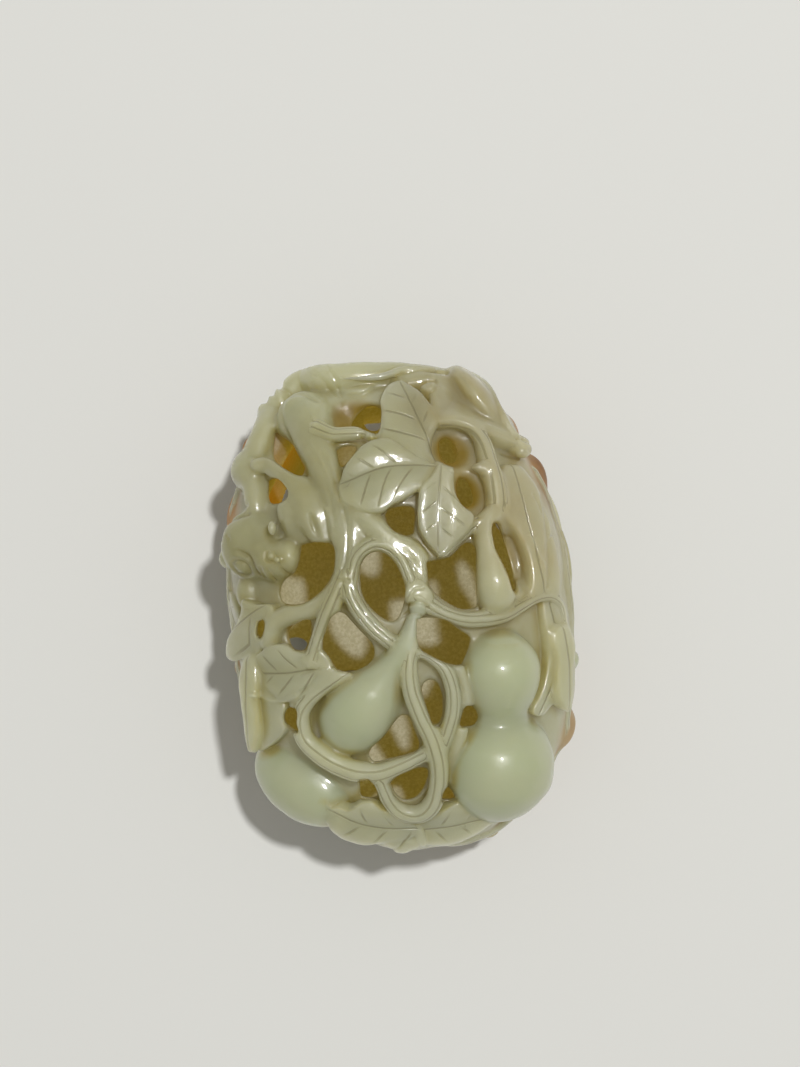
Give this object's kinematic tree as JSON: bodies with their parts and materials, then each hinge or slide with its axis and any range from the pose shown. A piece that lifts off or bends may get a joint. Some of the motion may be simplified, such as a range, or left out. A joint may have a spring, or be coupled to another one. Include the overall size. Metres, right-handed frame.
{
  "type": "jade squirrel pendant",
  "caption": "Hollow egg-shaped jade pendant carved in openwork with squirrels, gourds, leaves and curling vine stems.",
  "frame": {"origin": "centre of the part's footprint, on the surface that it lies on", "axes": "+X to the right across the front, +Y towards the top end, +Z out of the carved front"},
  "size_m": [0.047, 0.0644, 0.0361],
  "materials": {
    "jade": "polished pale grey-green nephrite, russet brown on the back and matte brown inside the hollow"
  },
  "bodies": {
    "root": {"squirrel_gourd_pendant": "jade"}
  },
  "joints": []
}
